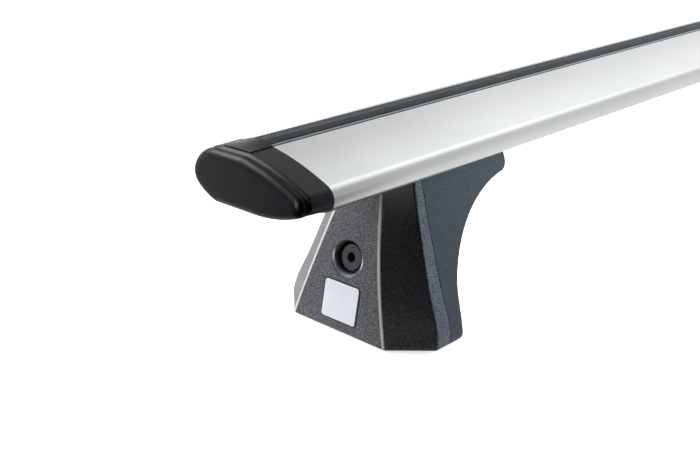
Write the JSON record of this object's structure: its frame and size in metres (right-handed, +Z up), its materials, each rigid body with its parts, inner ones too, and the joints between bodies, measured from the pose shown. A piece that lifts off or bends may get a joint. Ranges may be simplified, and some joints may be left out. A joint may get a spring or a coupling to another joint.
{
  "type": "roof rack crossbar",
  "caption": "Wing-section aluminium roof crossbar with end caps, a rubber-covered top slot and moulded clamp feet under snap-off covers with quarter-turn locks.",
  "frame": {"origin": "under the middle of the bar, on the plane the feet stand on", "axes": "+X along the bar, +Y the blunt nose of the wing section, +Z up"},
  "size_m": [1.18, 0.1144, 0.1226],
  "materials": {
    "bar_aluminium": "satin anodised",
    "strip_rubber": "matt",
    "cap_black": "fine satin",
    "cover_grey": "fine grain",
    "body_grey": "fine grain",
    "badge_pale": "smooth",
    "lock_black": "satin",
    "zinc_steel": "zinc plated",
    "insert_brass": "turned",
    "plate_black": "powder coated"
  },
  "bodies": {
    "bar": {"bar_profile": "bar_aluminium", "slot_strip": "strip_rubber"},
    "end_cap_left": {"end_cap_left": "cap_black"},
    "foot_left": {"foot_body_left": "body_grey", "base_plate_left": "plate_black", "plate_screws_left": "zinc_steel", "tension_insert_left": "insert_brass", "tee_bolts_left": "zinc_steel", "tee_washers_left": "zinc_steel", "tee_nuts_left": "zinc_steel"},
    "cover_left": {"foot_cover_left": "cover_grey", "badge_plate_left": "badge_pale"},
    "lock_left": {"lock_barrel_left": "lock_black", "lock_cam_left": "zinc_steel", "lock_clip_left": "zinc_steel"},
    "carrier_left": {"claw_carrier_left": "zinc_steel"},
    "screw_left": {"tension_screw_left": "zinc_steel"},
    "end_cap_right": {"end_cap_right": "cap_black"},
    "foot_right": {"foot_body_right": "body_grey", "base_plate_right": "plate_black", "plate_screws_right": "zinc_steel", "tension_insert_right": "insert_brass", "tee_bolts_right": "zinc_steel", "tee_washers_right": "zinc_steel", "tee_nuts_right": "zinc_steel"},
    "cover_right": {"foot_cover_right": "cover_grey", "badge_plate_right": "badge_pale"},
    "lock_right": {"lock_barrel_right": "lock_black", "lock_cam_right": "zinc_steel", "lock_clip_right": "zinc_steel"},
    "carrier_right": {"claw_carrier_right": "zinc_steel"},
    "screw_right": {"tension_screw_right": "zinc_steel"}
  },
  "joints": [
    {"name": "end_cap_pull_left", "type": "slide", "parent": "bar", "child": "end_cap_left", "axis": [-1, 0, 0], "range_m": [0, 0.04]},
    {"name": "foot_slide_left", "type": "slide", "parent": "bar", "child": "foot_left", "axis": [1, 0, 0], "range_m": [-0.06, 0.25]},
    {"name": "cover_pull_left", "type": "slide", "parent": "foot_left", "child": "cover_left", "axis": [-1, 0, 0], "range_m": [0, 0.06]},
    {"name": "lock_turn_left", "type": "hinge", "parent": "cover_left", "child": "lock_left", "pos_m": [-0.50489, 0, 0.04183], "axis": [0.9736, 0, -0.2284], "range_deg": [0, 90]},
    {"name": "carrier_slide_left", "type": "slide", "parent": "foot_left", "child": "carrier_left", "axis": [0.9736, 0, -0.2284], "range_m": [0, 0.005]},
    {"name": "screw_turn_left", "type": "hinge", "parent": "carrier_left", "child": "screw_left", "pos_m": [-0.49127, 0, 0.03863], "axis": [0.9736, 0, -0.2284], "range_deg": [-72, 1512]},
    {"name": "end_cap_pull_right", "type": "slide", "parent": "bar", "child": "end_cap_right", "axis": [1, 0, 0], "range_m": [0, 0.04]},
    {"name": "foot_slide_right", "type": "slide", "parent": "bar", "child": "foot_right", "axis": [-1, 0, 0], "range_m": [-0.06, 0.25]},
    {"name": "cover_pull_right", "type": "slide", "parent": "foot_right", "child": "cover_right", "axis": [1, 0, 0], "range_m": [0, 0.06]},
    {"name": "lock_turn_right", "type": "hinge", "parent": "cover_right", "child": "lock_right", "pos_m": [0.50489, 0, 0.04183], "axis": [-0.9736, 0, -0.2284], "range_deg": [0, 90]},
    {"name": "carrier_slide_right", "type": "slide", "parent": "foot_right", "child": "carrier_right", "axis": [-0.9736, 0, -0.2284], "range_m": [0, 0.005]},
    {"name": "screw_turn_right", "type": "hinge", "parent": "carrier_right", "child": "screw_right", "pos_m": [0.49127, 0, 0.03863], "axis": [-0.9736, 0, -0.2284], "range_deg": [-72, 1512]}
  ],
  "couplings": [
    {"joint": "screw_turn_left", "follows": "carrier_slide_left", "rad_per_m": 5026.5},
    {"joint": "screw_turn_right", "follows": "carrier_slide_right", "rad_per_m": 5026.5}
  ]
}
